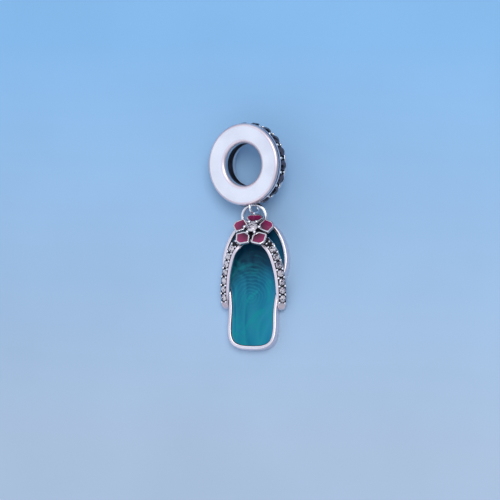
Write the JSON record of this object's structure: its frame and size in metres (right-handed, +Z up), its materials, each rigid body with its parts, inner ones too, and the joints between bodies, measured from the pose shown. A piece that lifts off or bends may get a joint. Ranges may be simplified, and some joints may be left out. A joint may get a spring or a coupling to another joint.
{
  "type": "dangle charm",
  "caption": "Flip-flop pendant with a teal enamel sole, stone-set straps and a pink flower, linked by a jump ring to a round spacer ring with a wide bore.",
  "frame": {"origin": "centre of the bounding box at the surface that the charm lies on", "axes": "+Y from the heel of the sole to the spacer ring, +Z up from the surface, +X to the right with the face up"},
  "size_m": [0.0096, 0.026, 0.0054],
  "materials": {
    "silver": "polished",
    "teal_enamel": "gloss",
    "pink_enamel": "gloss",
    "clear_stone": "cut"
  },
  "bodies": {
    "root": {"bail_ring": "silver", "flower_stone": "clear_stone", "jump_ring": "silver", "pendant_frame": "silver", "petal_enamel_1": "pink_enamel", "petal_enamel_2": "pink_enamel", "petal_enamel_3": "pink_enamel", "petal_enamel_4": "pink_enamel", "petal_enamel_5": "pink_enamel", "rim_stone_01": "clear_stone", "rim_stone_02": "clear_stone", "rim_stone_03": "clear_stone", "rim_stone_04": "clear_stone", "rim_stone_05": "clear_stone", "rim_stone_06": "clear_stone", "rim_stone_07": "clear_stone", "rim_stone_08": "clear_stone", "rim_stone_09": "clear_stone", "rim_stone_10": "clear_stone", "rim_stone_11": "clear_stone", "rim_stone_12": "clear_stone", "rim_stone_13": "clear_stone", "rim_stone_14": "clear_stone", "rim_stone_15": "clear_stone", "rim_stone_16": "clear_stone", "rim_stone_17": "clear_stone", "sole_enamel": "teal_enamel", "strap_stone_left_1": "clear_stone", "strap_stone_left_2": "clear_stone", "strap_stone_left_3": "clear_stone", "strap_stone_left_4": "clear_stone", "strap_stone_left_5": "clear_stone", "strap_stone_left_6": "clear_stone", "strap_stone_left_7": "clear_stone", "strap_stone_right_1": "clear_stone", "strap_stone_right_2": "clear_stone", "strap_stone_right_3": "clear_stone", "strap_stone_right_4": "clear_stone", "strap_stone_right_5": "clear_stone", "strap_stone_right_6": "clear_stone", "strap_stone_right_7": "clear_stone"}
  },
  "joints": []
}
